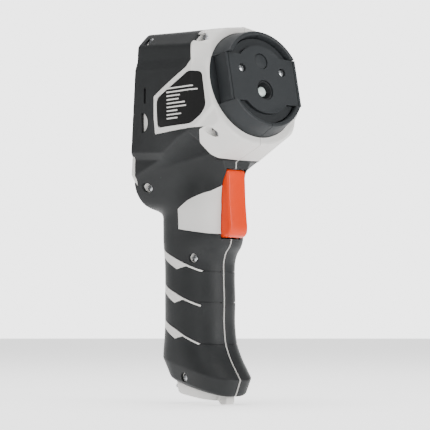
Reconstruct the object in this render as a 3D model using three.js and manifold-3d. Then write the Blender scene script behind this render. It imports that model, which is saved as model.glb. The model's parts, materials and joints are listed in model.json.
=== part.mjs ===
// Pistol-grip imaging infrared thermometer.
// Millimetres, +Z up, lens facing -Y. Every section below is written with z measured from the
// lowest point of the base; the finished group is lowered so that the origin lies on the handle
// axis at the middle of the grip.
import * as THREE from 'three';
import { mergeVertices } from 'three/addons/utils/BufferGeometryUtils.js';
import Module from 'manifold-3d';

const wasm = await Module();
wasm.setup();

// ---------------------------------------------------------------- driving dimensions
const GRIP_HEIGHT = 62;          // grip centre above the base
const GAP = 0.3;                 // clearance between pieces that meet
const SEAM = 0.15;               // half of the gap between left and right mouldings
const SKIN = 1.6;                // overmould thickness
const WALL = 3.4;                // outer surface to inner cavity
const LABEL = 1.2;               // label plate thickness

const DISPLAY_TILT = THREE.MathUtils.degToRad(4.2);
const DISPLAY_FOOT = [0, 17.2, 135];     // point on the display plane where v = 0
const FRAME_DEPTH = 2.2;                 // rear display frame
const LENS_TILT = THREE.MathUtils.degToRad(11.85);
const RING_CENTRE = [0, -60.2, 189.2];   // centre of the front rim
const COLLAR_SETBACK = 12;               // collar front face behind the rim
const COLLAR_R = 37;
const COLLAR_FLAT = 29;                  // half width across the collar's flats

const RING_TOP_R = 29.3;
const RING_BASE_R = 32;
const RIM_INNER_R = 26.6;
const BAND_HALF = 14.2;                  // half height of the horizontal band on the face
const BAND_FLAT = 27;                    // half width of the band
const BAND_SETBACK = 1.8;
const DISC_R = 20.8;                     // round boss behind the band
const FLOOR_SETBACK = 3.8;
const RING_REAR = 13.5;
const LENS_U = -6.4;                     // infrared lens below the rim centre
const LENS_HOLE_R = 6;
const WINDOW_U = 11.2;                   // camera window above the rim centre
const WINDOW_R = 4.8;
const FACE_SCREW = [15.4, 5.8];

const SCREEN = { half: 33, low: 28, high: 76 };
const KEY_ROW = 13;                      // keys below the screen, measured on the display plane

const TRIGGER_HALF = 7.1;
const TRIGGER_PIVOT = [-24.5, 133];      // y, z
const CELL = { y: 6.6, r: 9.15, low: 20.8, length: 65 };

const LIGHT_GREY = 0xcdccc8;
const CHARCOAL = 0x36383a;
const SLATE = 0x424547;
const LABEL_BLACK = 0x2b2c2b;
const ORANGE = 0xf5571f;
const STEEL = 0xb8babc;
const BOARD_GREEN = 0x1f5a3a;

// ---------------------------------------------------------------- solids
const model = new THREE.Group();
const body = new THREE.Group();
body.position.z = -GRIP_HEIGHT;
model.add(body);

function solid(geometry) {
  const plain = geometry.clone();
  plain.deleteAttribute('normal');
  plain.deleteAttribute('uv');
  const merged = mergeVertices(plain, 1e-4);
  return new wasm.Manifold(new wasm.Mesh({
    numProp: 3,
    vertProperties: new Float32Array(merged.attributes.position.array),
    triVerts: new Uint32Array(merged.index.array),
  }));
}

function add(name, shape, color, roughness = 0.6, metalness = 0) {
  const mesh = shape.getMesh();
  const geometry = new THREE.BufferGeometry();
  geometry.setAttribute('position', new THREE.BufferAttribute(mesh.vertProperties, 3));
  geometry.setIndex(new THREE.BufferAttribute(mesh.triVerts, 1));
  geometry.computeVertexNormals();
  const node = new THREE.Mesh(
    geometry,
    new THREE.MeshStandardMaterial({ color, roughness, metalness }),
  );
  node.name = name;
  body.add(node);
}

const unite = (...parts) => parts.reduce((whole, part) => whole.add(part));
const cut = (whole, ...parts) => parts.reduce((left, part) => left.subtract(part), whole);
// the one body that a cut leaves, without loose slivers
const largest = (shape) => shape.decompose().sort((a, b) => b.volume() - a.volume())[0];

// frames: local x is across, local y up the plane, local z out of it
const displayFrame = new THREE.Matrix4().makeBasis(
  new THREE.Vector3(1, 0, 0),
  new THREE.Vector3(0, -Math.sin(DISPLAY_TILT), Math.cos(DISPLAY_TILT)),
  new THREE.Vector3(0, -Math.cos(DISPLAY_TILT), -Math.sin(DISPLAY_TILT)),
).setPosition(...DISPLAY_FOOT);          // z grows into the head
const lensFrame = new THREE.Matrix4().makeBasis(
  new THREE.Vector3(1, 0, 0),
  new THREE.Vector3(0, Math.sin(LENS_TILT), Math.cos(LENS_TILT)),
  new THREE.Vector3(0, -Math.cos(LENS_TILT), Math.sin(LENS_TILT)),
).setPosition(...RING_CENTRE);           // z grows out of the lens
const plain = new THREE.Matrix4();
const sideFrame = new THREE.Matrix4().makeBasis(
  new THREE.Vector3(0, 1, 0),
  new THREE.Vector3(0, 0, 1),
  new THREE.Vector3(1, 0, 0),
);                                       // x, y here are Y, Z of the model

function block([x0, x1], [y0, y1], [z0, z1], frame = plain) {
  const geometry = new THREE.BoxGeometry(x1 - x0, y1 - y0, z1 - z0);
  geometry.translate((x0 + x1) / 2, (y0 + y1) / 2, (z0 + z1) / 2);
  return solid(geometry.applyMatrix4(frame));
}

// a round bar from z0 to z1 in a frame
function round(radius, [z0, z1], [x, y] = [0, 0], frame = plain, sides = 24) {
  const geometry = new THREE.CylinderGeometry(radius, radius, z1 - z0, sides);
  geometry.rotateX(Math.PI / 2);
  geometry.translate(x, y, (z0 + z1) / 2);
  return solid(geometry.applyMatrix4(frame));
}

// a turned ring: profile of [radius, z], closed on itself
function turned(profile, [x, y] = [0, 0], frame = plain, sides = 36) {
  const points = profile.map(([r, z]) => new THREE.Vector2(r, z));
  const geometry = new THREE.LatheGeometry([...points, points[0]], sides);
  geometry.rotateX(Math.PI / 2);
  geometry.translate(x, y, 0);
  return outward(geometry.applyMatrix4(frame));
}

function outward(geometry) {
  const position = geometry.attributes.position;
  const index = geometry.index;
  let volume = 0;
  const [a, b, c] = [new THREE.Vector3(), new THREE.Vector3(), new THREE.Vector3()];
  for (let i = 0; i < index.count; i += 3) {
    a.fromBufferAttribute(position, index.getX(i));
    b.fromBufferAttribute(position, index.getX(i + 1));
    c.fromBufferAttribute(position, index.getX(i + 2));
    volume += a.dot(b.cross(c));
  }
  if (volume < 0) {
    for (let i = 0; i < index.count; i += 3) {
      const first = index.getX(i);
      index.setX(i, index.getX(i + 1));
      index.setX(i + 1, first);
    }
  }
  return solid(geometry);
}

// a closed body through rings of equal length
function loft(rings) {
  const count = rings[0].length;
  const vertices = rings.flat().flatMap((p) => [p.x, p.y, p.z]);
  const index = [];
  for (let ring = 0; ring < rings.length - 1; ring += 1) {
    for (let i = 0; i < count; i += 1) {
      const next = (i + 1) % count;
      const [p, q] = [ring * count + i, ring * count + next];
      index.push(p, q, q + count, p, q + count, p + count);
    }
  }
  for (const [ring, flip] of [[0, true], [rings.length - 1, false]]) {
    const centre = rings[ring].reduce((sum, p) => sum.add(p), new THREE.Vector3());
    centre.divideScalar(count);
    const hub = vertices.length / 3;
    vertices.push(centre.x, centre.y, centre.z);
    for (let i = 0; i < count; i += 1) {
      const [p, q] = [ring * count + i, ring * count + ((i + 1) % count)];
      index.push(hub, flip ? q : p, flip ? p : q);
    }
  }
  const geometry = new THREE.BufferGeometry();
  geometry.setAttribute('position', new THREE.Float32BufferAttribute(vertices, 3));
  geometry.setIndex(index);
  return outward(geometry);
}

// moves every side of a closed outline inward by a distance (outward if negative)
function inset(outline, distance) {
  const area = outline.reduce((sum, [x, y], i) => {
    const [nextX, nextY] = outline[(i + 1) % outline.length];
    return sum + x * nextY - nextX * y;
  }, 0);
  const side = Math.sign(area) * distance;
  return outline.map(([x, y], i) => {
    const [px, py] = outline[(i + outline.length - 1) % outline.length];
    const [nx, ny] = outline[(i + 1) % outline.length];
    const before = new THREE.Vector2(x - px, y - py).normalize();
    const after = new THREE.Vector2(nx - x, ny - y).normalize();
    const miter = new THREE.Vector2(-before.y - after.y, before.x + after.x);
    const scale = (2 * side) / miter.lengthSq();
    return [x + miter.x * scale, y + miter.y * scale];
  });
}

// a prism across the part from its side view outline of [y, z]
function sidePrism(outline, [x0, x1]) {
  const shape = new THREE.Shape(outline.map(([y, z]) => new THREE.Vector2(y, z)));
  const geometry = new THREE.ExtrudeGeometry(shape, { depth: x1 - x0, bevelEnabled: false });
  geometry.translate(0, 0, x0);
  return solid(geometry.applyMatrix4(sideFrame));
}

const mirrored = (half) => [...half, ...half.slice(1, -1).reverse().map(([x, y]) => [-x, y])];
const mirrorX = (shape) => shape.mirror([1, 0, 0]);
const place = (outline, depth, frame) =>
  outline.map(([x, y]) => new THREE.Vector3(x, y, depth).applyMatrix4(frame));

// ---------------------------------------------------------------- head
// Half outlines from top centre to bottom centre. The same corner keeps its place in each list:
// crown, top chamfer, upper step, raised side, lower step, underside.
const REAR = [
  [0, 87.5], [16, 87.2], [31.2, 86], [39.6, 77.1], [38.7, 68.6], [40, 63.8], [40, 14.4],
  [38.7, 10.2], [38.7, 1.8], [38.2, -4], [35, -9.8], [28.4, -17.2], [18, -21], [0, -22.5],
];
const MIDDLE = [
  [0, 88], [16, 87.6], [31.2, 86], [39.4, 77.1], [38.4, 68.6], [39.7, 63.8], [38.6, 20],
  [36.4, 14], [34.4, 6], [32, -2], [27, -10], [21, -16], [12, -19], [0, -20],
];
const SHOULDER = [
  [0, 89.6], [16, 88.4], [30, 85.2], [37.6, 77.4], [36.9, 68.6], [37.6, 62.5], [37.6, 25.5],
  [36.4, 21.5], [36, 12.4], [31, 11.9], [24, 11.6], [17, 11.4], [9, 11.3], [0, 11.2],
];
const SHOULDER_DEPTH = 50;
const FLANK_REAR = -6;           // the cheeks lie behind this y
const MIDDLE_DEPTH = 32;

// the collar's front outline, in the lens plane: a circle with two flats and a fuller middle
function collarOutline() {
  const arc = (x) => Math.sqrt(COLLAR_R ** 2 - x ** 2);
  return [
    [0, COLLAR_R], [13, arc(13)], [22, arc(22)], [COLLAR_FLAT, arc(COLLAR_FLAT)],
    [COLLAR_FLAT, 14.5], [33.4, 8], [33.4, -15], [31.5, -16.5], [COLLAR_FLAT, -arc(COLLAR_FLAT)],
    [26, -arc(26)], [20.5, -arc(20.5)], [14, -arc(14)], [7, -arc(7)], [0, -COLLAR_R],
  ];
}

// planes under the front of the head: outward normal and offset, above the base
const FLANK = { normal: [0.53, -0.363, -0.766], offset: -88.6 };
const CHIN = { normal: [0, -0.429, -0.903], offset: -111.9 };
const UNDERSIDE_REACH = 80;

// what lies beyond a plane, ahead of the cheeks
function beyond({ normal, offset }, depth, side = 1) {
  const out = new THREE.Vector3(...normal).normalize();
  const across = new THREE.Vector3(0, -out.z, out.y).normalize();
  const along = new THREE.Vector3().crossVectors(out, across);
  const frame = new THREE.Matrix4().makeBasis(across, along, out)
    .setPosition(out.clone().multiplyScalar(offset - depth));
  const slab = block([-300, 300], [-300, 300], [0, UNDERSIDE_REACH], frame);
  return side < 0 ? mirrorX(slab) : slab;
}

// the display frame's own outline, inside the mouldings except beside the lower step
const FRAME_OUTLINE = [
  [0, 86.2], [16, 85.9], [30.6, 84.7], [38, 76.8], [38, 68.6], [38.2, 63.8], [38.2, 14.4],
  [39.3, 11], [39.3, 0], [36, -4.6], [32.2, -9.6], [26, -15.4], [16.5, -18.6], [0, -19.8],
];

function headBody(depth) {
  const ring = (half, z, frame) => place(inset(mirrored(half), depth), z, frame);
  const whole = loft([
    ring(REAR, depth, displayFrame),
    ring(MIDDLE, MIDDLE_DEPTH, displayFrame),
    ring(SHOULDER, SHOULDER_DEPTH, displayFrame),
    ring(collarOutline(), -COLLAR_SETBACK - depth, lensFrame),
  ]);
  const ahead = block([-80, 80], [-100, FLANK_REAR], [60, 260]);
  const front = cut(whole.intersect(ahead), beyond(FLANK, depth), beyond(FLANK, depth, -1),
    beyond(CHIN, depth));
  return unite(cut(whole, ahead), front);
}

// ---------------------------------------------------------------- handle
// Level sections from the base up: height on the axis, forward tilt, reach to the front and to
// the back, half width and squareness.
const HANDLE = [
  { z: 12.6, tilt: 0.25, front: 32.4, back: 11, half: 15.4, power: 2.8 },
  { z: 14.4, tilt: 0.25, front: 33.6, back: 13.6, half: 17.4, power: 2.8 },
  { z: 23.6, tilt: 0.245, front: 37.5, back: 21.5, half: 18.9, power: 2.8 },
  { z: 29.5, tilt: 0.19, front: 30.5, back: 21.9, half: 18.9, power: 2.6 },
  { z: 36.5, tilt: 0.12, front: 25, back: 22, half: 18.8, power: 2.4 },
  { z: 46, tilt: 0.06, front: 23, back: 22.1, half: 18.8, power: 2.25 },
  { z: 61.5, tilt: 0, front: 23, back: 22.1, half: 18.8, power: 2.25 },
  { z: 77, tilt: 0, front: 22.4, back: 22.1, half: 18.8, power: 2.25 },
  { z: 85.5, tilt: 0, front: 22.9, back: 22.1, half: 18.9, power: 2.3 },
  { z: 89.3, tilt: 0, front: 24.5, back: 22, half: 19, power: 2.4 },
  { z: 93, tilt: 0, front: 28, back: 22, half: 19.1, power: 2.5 },
  { z: 96.5, tilt: 0, front: 29.4, back: 21.9, half: 19.2, power: 2.6 },
  { z: 104, tilt: 0, front: 29.5, back: 21.6, half: 19.6, power: 2.6 },
  { z: 110, tilt: 0, front: 29.5, back: 20.4, half: 20.2, power: 2.7 },
  { z: 116, tilt: 0, front: 29.6, back: 18, half: 20.9, power: 2.8 },
  { z: 124, tilt: 0, front: 29.5, back: 12, half: 21.3, power: 2.7 },
  { z: 138, tilt: 0, front: 29, back: 8, half: 20.5, power: 2.5 },
  { z: 146, tilt: 0, front: 30, back: 6, half: 20, power: 2.5 },
];
const OUTER_SIDES = 20;
const CAVITY_SIDES = 12;

function handleBody(depth, sides) {
  const bend = (value, power) => Math.sign(value) * Math.abs(value) ** (2 / power);
  const floor = HANDLE[0].z + depth;
  const stations = depth > SKIN + GAP ? HANDLE.filter((s, i) => i % 2 === 0 || i > 15) : HANDLE;
  return loft(stations.map((s) => Array.from({ length: sides }, (_, i) => {
    const angle = (2 * Math.PI * i) / sides;
    const reach = Math.sin(angle) < 0 ? s.front - depth : s.back - depth;
    const x = (s.half - depth) * bend(Math.cos(angle), s.power);
    const y = reach * bend(Math.sin(angle), s.power);
    return new THREE.Vector3(x, y, Math.max(s.z, floor) + s.tilt * y);
  })));
}

function wholeBody(depth, sides = OUTER_SIDES) {
  return unite(headBody(depth), handleBody(depth, sides));
}

const outer = wholeBody(0);
const underSkin = wholeBody(SKIN);
const pocketFloor = wholeBody(SKIN + GAP);
const cavity = wholeBody(WALL, CAVITY_SIDES);
const frameRoom = loft([
  place(inset(mirrored(FRAME_OUTLINE), -GAP), -8, displayFrame),
  place(inset(mirrored(FRAME_OUTLINE), -GAP), FRAME_DEPTH + GAP, displayFrame),
]);
const shellBody = cut(outer, frameRoom);

// ---------------------------------------------------------------- side view regions, [y, z]
const HEAD_BLACK = [
  [40, 240], [-37.3, 240], [-37.3, 199.5], [-33.4, 195.6], [-5.6, 181.1], [-5.6, 158.3],
  [-42.7, 159.9], [-40.8, 159], [-33.9, 151.4], [-33.4, 146.5], [-36.5, 142.8], [-37.5, 136],
  [-26, 125.6], [-12.9, 120.4], [-4.4, 115.7], [-3.4, 103.4], [-24, 100.2], [-45, 98.2], [-60, 60], [-60, -20], [40, -20],
];
const STRIPES = [
  [[30, 100], [11.6, 91.3], [1, 87], [-8.7, 83], [-17.9, 79], [-17.4, 77.6], [-8.7, 81.2],
    [-1.2, 79.6], [11.5, 85.8], [30, 95]],
  [[30, 79.5], [11.5, 70.7], [-17.6, 58.5], [-17.2, 57.1], [-6.5, 61.4], [1, 59.6],
    [11.5, 65.2], [30, 74]],
  [[30, 57.5], [9.8, 48.7], [-0.8, 44.3], [-8.4, 40.4], [-17.6, 36.1], [-17.2, 34.7],
    [-6.2, 39.8], [0.5, 38.4], [9.8, 43.3], [30, 52.5]],
];
const LABEL_OUTLINE = [
  [-8.9, 179], [-28.1, 188.9], [-35, 192.9], [-43.6, 191.9], [-46.8, 172], [-43.8, 167.5],
  [-36.6, 162.6], [-8.9, 162.3],
];
const SLOT = { y: [1.7, 3.6], z: [177.6, 187] };
const PORT = { y: 5.8, z: 166.3, r: 5.9 };

function blackRegion(grow) {
  const half = [SEAM + 0.5 - grow, 60];
  return cut(
    sidePrism(inset(HEAD_BLACK, -grow), half),
    ...STRIPES.map((stripe) => sidePrism(inset(stripe, grow), [0, 61])),
  );
}

const rightHalf = block([SEAM, 80], [-100, 60], [-20, 260]);
const portPlan = () => {
  const outline = [];
  for (let i = 0; i <= 10; i += 1) {
    const angle = Math.PI / 2 + (Math.PI * i) / 10;
    outline.push([PORT.y + PORT.r * Math.cos(angle), PORT.z + PORT.r * Math.sin(angle)]);
  }
  return outline;
};
const slotPlan = [
  [SLOT.y[0], SLOT.z[0]], [SLOT.y[1], SLOT.z[0]], [SLOT.y[1], SLOT.z[1]], [SLOT.y[0], SLOT.z[1]],
];

// ---------------------------------------------------------------- shell screws
// driven from the left side (-X): [head x, y, z, recess length]
const SHELL_SCREWS = [
  [-33.5, 4.2, 215.2], [-28, -39.5, 212.6], [-23.5, -45.5, 157.4], [-29, 10.6, 128.5],
  [-14.2, -13.5, 86.1], [-15.8, -7.1, 15.9],
];
const HEAD_R = 2.3;
const SHANK_R = 1.2;

function sideBar(radius, [x0, x1], [y, z], sides = 12) {
  return round(radius, [x0, x1], [y, z], sideFrame, sides);
}

const recesses = SHELL_SCREWS.map(([x, y, z]) => sideBar(HEAD_R + 0.5, [-60, x], [y, z]));
const leftBosses = SHELL_SCREWS.map(([x, y, z]) => sideBar(3.6, [x - 1.6, -SEAM], [y, z], 8));
const rightBosses = SHELL_SCREWS.map(([x, y, z]) => sideBar(3.6, [SEAM, -x + 1.6], [y, z], 8));
const leftBores = SHELL_SCREWS.map(([x, y, z]) => sideBar(SHANK_R + GAP, [x - 0.5, 1], [y, z], 8));
const leftSeats = SHELL_SCREWS.map(([x, y, z]) => sideBar(HEAD_R + 0.5, [x - 1.8, x], [y, z]));
const rightBores = SHELL_SCREWS.map(([, y, z]) => sideBar(SHANK_R + GAP, [-1, 9], [y, z], 8));

SHELL_SCREWS.forEach(([x, y, z], i) => {
  const screw = cut(
    unite(
      sideBar(HEAD_R, [x - 1.6 + GAP, x - GAP], [y, z]),
      sideBar(SHANK_R, [x - 2 * GAP, 8], [y, z], 8),
    ),
    block([x - 2.2, x - 0.6], [y - 1.6, y + 1.6], [z - 0.35, z + 0.35]),
    block([x - 2.2, x - 0.6], [y - 0.35, y + 0.35], [z - 1.6, z + 1.6]),
  );
  add(`shell_screw_${i + 1}`, screw, STEEL, 0.35, 0.9);
});

// ---------------------------------------------------------------- shells and overmoulds
const ringPocket = round(RING_BASE_R + GAP, [-RING_REAR - GAP, 0], [0, 0], lensFrame, 36);
const frontBore = round(23.6, [-30, 0], [0, 0], lensFrame, 28);
const triggerRoom = block([-TRIGGER_HALF - 0.4, TRIGGER_HALF + 0.4], [-50, -17], [96.8, 138.7]);
const cellMouth = round(CELL.r + 2.3, [0, 30], [0, CELL.y], plain, 24);
const hingePinPlace = [7.6, 10.6];       // y, z of the door hinge
const hingeRoom = (x) => block([x - 0.3, x + 3.3], [2, 13], [0, 16]);
const pinBore = sideBar(1.5 + 0.1, [-8.9, 8.9], TRIGGER_PIVOT, 12);
const rearOpening = block([-35.4, 35.4], [0.8, 77.5], [-5, 8], displayFrame);
const pinBosses = block([-13, 13], [-28, -20.5], [129.2, 137]);

function shell(side) {
  const half = side < 0 ? mirrorX(rightHalf) : rightHalf;
  const region = side < 0 ? mirrorX(blackRegion(GAP)) : blackRegion(GAP);
  const pocket = cut(region, pocketFloor);
  const lining = cut(shellBody, cavity);
  const ribs = unite(
    ...(side < 0 ? leftBosses : rightBosses),
    cut(pinBosses, triggerRoom),
  ).intersect(underSkin);
  const lug = block([8.4, 11.2], [hingePinPlace[0] - 2.2, hingePinPlace[0] + 2.2],
    [hingePinPlace[1] - 2.2, 19]);
  const lugs = side < 0 ? mirrorX(lug) : lug;
  const label = labelRoom(side);
  const openings = [
    ringPocket, frontBore, triggerRoom, cellMouth, pinBore, pocket, label, frameRoom, rearOpening,
    sideBar(1.2 + 0.1, [-12, 12], hingePinPlace, 12),
  ];
  if (side < 0) {
    openings.push(...leftBores, ...leftSeats, ...recesses);
    openings.push(sidePrism(slotPlan, [-60, -20]));
  } else {
    openings.push(...rightBores);
  }
  return largest(cut(unite(cut(lining, triggerRoom), ribs, lugs), ...openings).intersect(half));
}

function labelRoom(side) {
  const room = cut(sidePrism(inset(LABEL_OUTLINE, -GAP), [10, 60]), wholeBody(LABEL + GAP));
  return side < 0 ? mirrorX(room) : room;
}

function overmould(side) {
  const region = side < 0 ? mirrorX(blackRegion(0)) : blackRegion(0);
  const skin = cut(shellBody, underSkin).intersect(region);
  const trimmed = cut(skin, triggerRoom, cellMouth);
  if (side > 0) {
    return trimmed;
  }
  return cut(
    trimmed,
    ...recesses,
    ...leftBores,
    sidePrism(slotPlan, [-60, -20]),
    sidePrism(portPlan(), [-60, -20]),
  );
}

function labelPlate(side) {
  const plate = cut(sidePrism(LABEL_OUTLINE, [10, 60]), wholeBody(LABEL)).intersect(outer);
  return side < 0 ? mirrorX(plate) : plate;
}

const SIDES = { left: -1, right: 1 };
for (const [name, side] of Object.entries(SIDES)) {
  add(`${name}_shell`, shell(side), LIGHT_GREY, 0.5);
  add(`${name}_overmould`, overmould(side), CHARCOAL, 0.65);
  add(`${name}_label_plate`, labelPlate(side), LABEL_BLACK, 0.45);
}

// ---------------------------------------------------------------- front ring and face
function ringHalf(side) {
  const ring = turned([
    [RIM_INNER_R, -0.7], [27.3, 0], [28.5, 0], [RING_TOP_R, -0.9], [RING_BASE_R, -COLLAR_SETBACK],
    [RING_BASE_R, -RING_REAR], [24, -RING_REAR], [24, -9.6], [RIM_INNER_R - 0.4, -9.6],
  ], [0, 0], lensFrame, 40);
  const bandRoom = block([-40, 40], [-BAND_HALF - GAP, BAND_HALF + GAP],
    [-COLLAR_SETBACK, 2], lensFrame);
  const half = side < 0 ? mirrorX(rightHalf) : rightHalf;
  return cut(ring, bandRoom).intersect(half);
}
add('front_ring_left', ringHalf(-1), SLATE, 0.5);
add('front_ring_right', ringHalf(1), SLATE, 0.5);

const facePlate = cut(
  unite(
    block([-BAND_FLAT, BAND_FLAT], [-BAND_HALF, BAND_HALF], [-11.6, -BAND_SETBACK], lensFrame)
      .intersect(round(RING_BASE_R - 1, [-20, 0], [0, 0], lensFrame, 36)),
    round(DISC_R, [-9.3, -BAND_SETBACK], [0, 0], lensFrame, 36),
    round(RIM_INNER_R - 0.9, [-9.3, -FLOOR_SETBACK], [0, 0], lensFrame, 36),
  ),
  round(LENS_HOLE_R, [-20, 0], [0, LENS_U], lensFrame, 28),
  round(WINDOW_R, [-20, 0], [0, WINDOW_U], lensFrame, 24),
  ...[-1, 1].map((side) => round(2.5, [-4, 0], [side * FACE_SCREW[0], FACE_SCREW[1]], lensFrame, 18)),
  ...[-1, 1].map((side) => round(1.5, [-20, 0], [side * FACE_SCREW[0], FACE_SCREW[1]], lensFrame, 12)),
);
add('face_plate', facePlate, SLATE, 0.5);

for (const [name, side] of Object.entries(SIDES)) {
  const at = [side * FACE_SCREW[0], FACE_SCREW[1]];
  const screw = cut(
    unite(
      round(2.1, [-3.7, -2.4], at, lensFrame, 18),
      round(1.1, [-12.5, -3.6], at, lensFrame, 10),
    ),
    block([at[0] - 1.5, at[0] + 1.5], [at[1] - 0.3, at[1] + 0.3], [-3.2, -2], lensFrame),
    block([at[0] - 0.3, at[0] + 0.3], [at[1] - 1.5, at[1] + 1.5], [-3.2, -2], lensFrame),
  );
  add(`face_screw_${name}`, screw, STEEL, 0.3, 0.9);
}

add('camera_window', round(WINDOW_R - GAP, [-3.7, -2.3], [0, WINDOW_U], lensFrame, 24), 0x1b1d20, 0.15);
add('lens_barrel', turned([
  [LENS_HOLE_R - GAP, -2.6], [LENS_HOLE_R - GAP, -25], [7.6, -25], [7.6, -27], [3.2, -27],
  [3.2, -7.2], [4.9, -5.2], [5.1, -2.6],
], [0, LENS_U], lensFrame, 20), 0x303233, 0.4);
const lensDome = turned([
  [0, -8.8], [2.9, -8.8], [2.9, -7.6], [0, -6.9],
], [0, LENS_U], lensFrame, 24);
add('ir_lens', lensDome, 0xb9c4c2, 0.1);
add('ir_detector', unite(
  round(2.8, [-26.6, -22], [0, LENS_U], lensFrame, 16),
), 0x8a8d90, 0.4, 0.6);
add('visible_camera', unite(
  block([-4, 4], [WINDOW_U - 4, WINDOW_U + 4], [-18, -12.5], lensFrame),
  round(3.1, [-12.6, -7], [0, WINDOW_U], lensFrame, 16),
), 0x1c1e20, 0.4);
add('sensor_board', block([-15, 15], [-20, 17], [-29, -27.6], lensFrame), BOARD_GREEN, 0.5);

// ---------------------------------------------------------------- rear display and keypad
const KEYS = {
  power: [-21, KEY_ROW, 5.2, 5.2], up: [0, KEY_ROW + 9, 6, 3], select: [0, KEY_ROW + 0.6, 5.4, 3.4],
  down: [0, KEY_ROW - 7.8, 6, 3], gallery: [21, KEY_ROW, 5.2, 5.2],
};
const keyBlock = ([x, v, halfX, halfV], grow, depths) => block(
  [x - halfX - grow, x + halfX + grow], [v - halfV - grow, v + halfV + grow], depths, displayFrame);
const screenBlock = (grow, depths) => block([-SCREEN.half - grow, SCREEN.half + grow],
  [SCREEN.low - grow, SCREEN.high + grow], depths, displayFrame);

const rearOutline = mirrored(FRAME_OUTLINE);
const displayFrameShape = cut(
  loft([
    place(inset(rearOutline, 1), 0, displayFrame),
    place(inset(rearOutline, 0), 0.8, displayFrame),
    place(inset(rearOutline, 0), FRAME_DEPTH, displayFrame),
  ]),
  screenBlock(1.4, [-1, 1.4]),
  screenBlock(-0.8, [-1, 5]),
  ...Object.values(KEYS).map((key) => keyBlock(key, GAP, [-2, 4])),
);
add('display_frame', displayFrameShape, LIGHT_GREY, 0.5);
add('display_window', screenBlock(1.1, [0.2, 1.1]), 0x15171a, 0.08);
add('display_gasket', cut(screenBlock(1, [2.5, 3.1]), screenBlock(-1.4, [2, 4])), 0x202020, 0.9);
add('lcd_module', screenBlock(1, [3.4, 6.2]), 0x2a3038, 0.3);

for (const [name, key] of Object.entries(KEYS)) {
  add(`key_${name}`, unite(keyBlock(key, 0, [-1, 4.2]), keyBlock(key, 0.8, [2.5, 3.3])),
    CHARCOAL, 0.7);
}
add('dome_sheet', unite(
  block([-29, 29], [1.5, 26.4], [6, 6.3], displayFrame),
  ...Object.values(KEYS).map(([x, v]) => round(1.8, [5.4, 6.1], [x, v], displayFrame, 8)),
), STEEL, 0.4, 0.8);
add('key_board', block([-30, 30], [1, 26.6], [6.7, 7.9], displayFrame), BOARD_GREEN, 0.5);
add('main_board', block([-29, 29], [0, 76], [14.4, 16], displayFrame), BOARD_GREEN, 0.5);

// ---------------------------------------------------------------- side socket
add('card_socket', block([-36, -24], [1.2, 4], [176.4, 188.2]), 0xa98a58, 0.4, 0.6);

// ---------------------------------------------------------------- trigger
const triggerShape = cut(
  unite(
    sidePrism([
      [-34.2, 138.1], [-34.9, 120], [-36.6, 104], [-35.6, 100.4], [-32.6, 98.1], [-29.6, 97.9],
      [-23.4, 99], [-21.6, 101], [-20.6, 137], [-22, 138.2],
    ], [-TRIGGER_HALF, TRIGGER_HALF]),
  ),
  sideBar(1.5 + 0.1, [-10, 10], TRIGGER_PIVOT, 12),
);
add('trigger', triggerShape, ORANGE, 0.3);
add('trigger_pin', sideBar(1.5, [-8.6, 8.6], TRIGGER_PIVOT, 12), STEEL, 0.3, 0.9);

class Coil extends THREE.Curve {
  constructor(radius, turns, length) {
    super();
    Object.assign(this, { radius, turns, length });
  }

  getPoint(t, target = new THREE.Vector3()) {
    const angle = 2 * Math.PI * this.turns * t;
    return target.set(this.radius * Math.cos(angle), this.length * t, this.radius * Math.sin(angle));
  }
}

function coil(radius, turns, length, wire, steps) {
  const section = new THREE.Shape(Array.from({ length: 4 }, (_, i) => new THREE.Vector2(
    wire * Math.cos((Math.PI * i) / 2), wire * Math.sin((Math.PI * i) / 2))));
  return new THREE.ExtrudeGeometry(section, {
    steps, extrudePath: new Coil(radius, turns, length),
  });
}
const SPRING = { z: 106, from: -19.6, to: -7.6 };
add('trigger_spring', outward(mergeVertices(stripped(
  coil(2.6, 5, SPRING.to - SPRING.from, 0.4, 40).translate(0, SPRING.from, SPRING.z)))),
STEEL, 0.3, 0.9);
add('trigger_switch', unite(
  block([-3.2, 3.2], [-17.6, -11], [114, 126]),
  block([-1.2, 1.2], [-19.6, -17.5], [118.4, 121]),
), 0x26282a, 0.5);
add('spring_seat', unite(
  block([-6, 6], [-7.2, -5.8], [101, 129.6]),
  block([-2.6, 2.6], [-10.7, -7.1], [115, 125]),
), CHARCOAL, 0.6);

function stripped(geometry) {
  geometry.deleteAttribute('normal');
  geometry.deleteAttribute('uv');
  return geometry;
}

// ---------------------------------------------------------------- battery
const cellTop = CELL.low + CELL.length;
add('battery_sleeve', turned([
  [CELL.r + 0.5, 20.2], [CELL.r + 0.5, cellTop + 6], [4, cellTop + 6], [4, cellTop + 7.4],
  [CELL.r + 1.7, cellTop + 7.4], [CELL.r + 1.7, 20.2],
], [0, CELL.y], plain, 24), 0x2f3133, 0.7);
add('battery_cell', unite(
  round(CELL.r, [CELL.low, cellTop - 1.2], [0, CELL.y]),
  round(4, [cellTop - 1.3, cellTop], [0, CELL.y], plain, 16),
), 0x3b6fa5, 0.4);
add('battery_contact', round(3.6, [cellTop + 5.6, cellTop + 6.8], [0, CELL.y], plain, 16), 0xb59a5a, 0.3, 0.9);
add('battery_spring', outward(mergeVertices(stripped(
  coil(3.4, 3, 4.2, 0.4, 24).rotateX(Math.PI / 2).translate(0, CELL.y, cellTop + 0.7)))),
STEEL, 0.3, 0.9);

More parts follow.
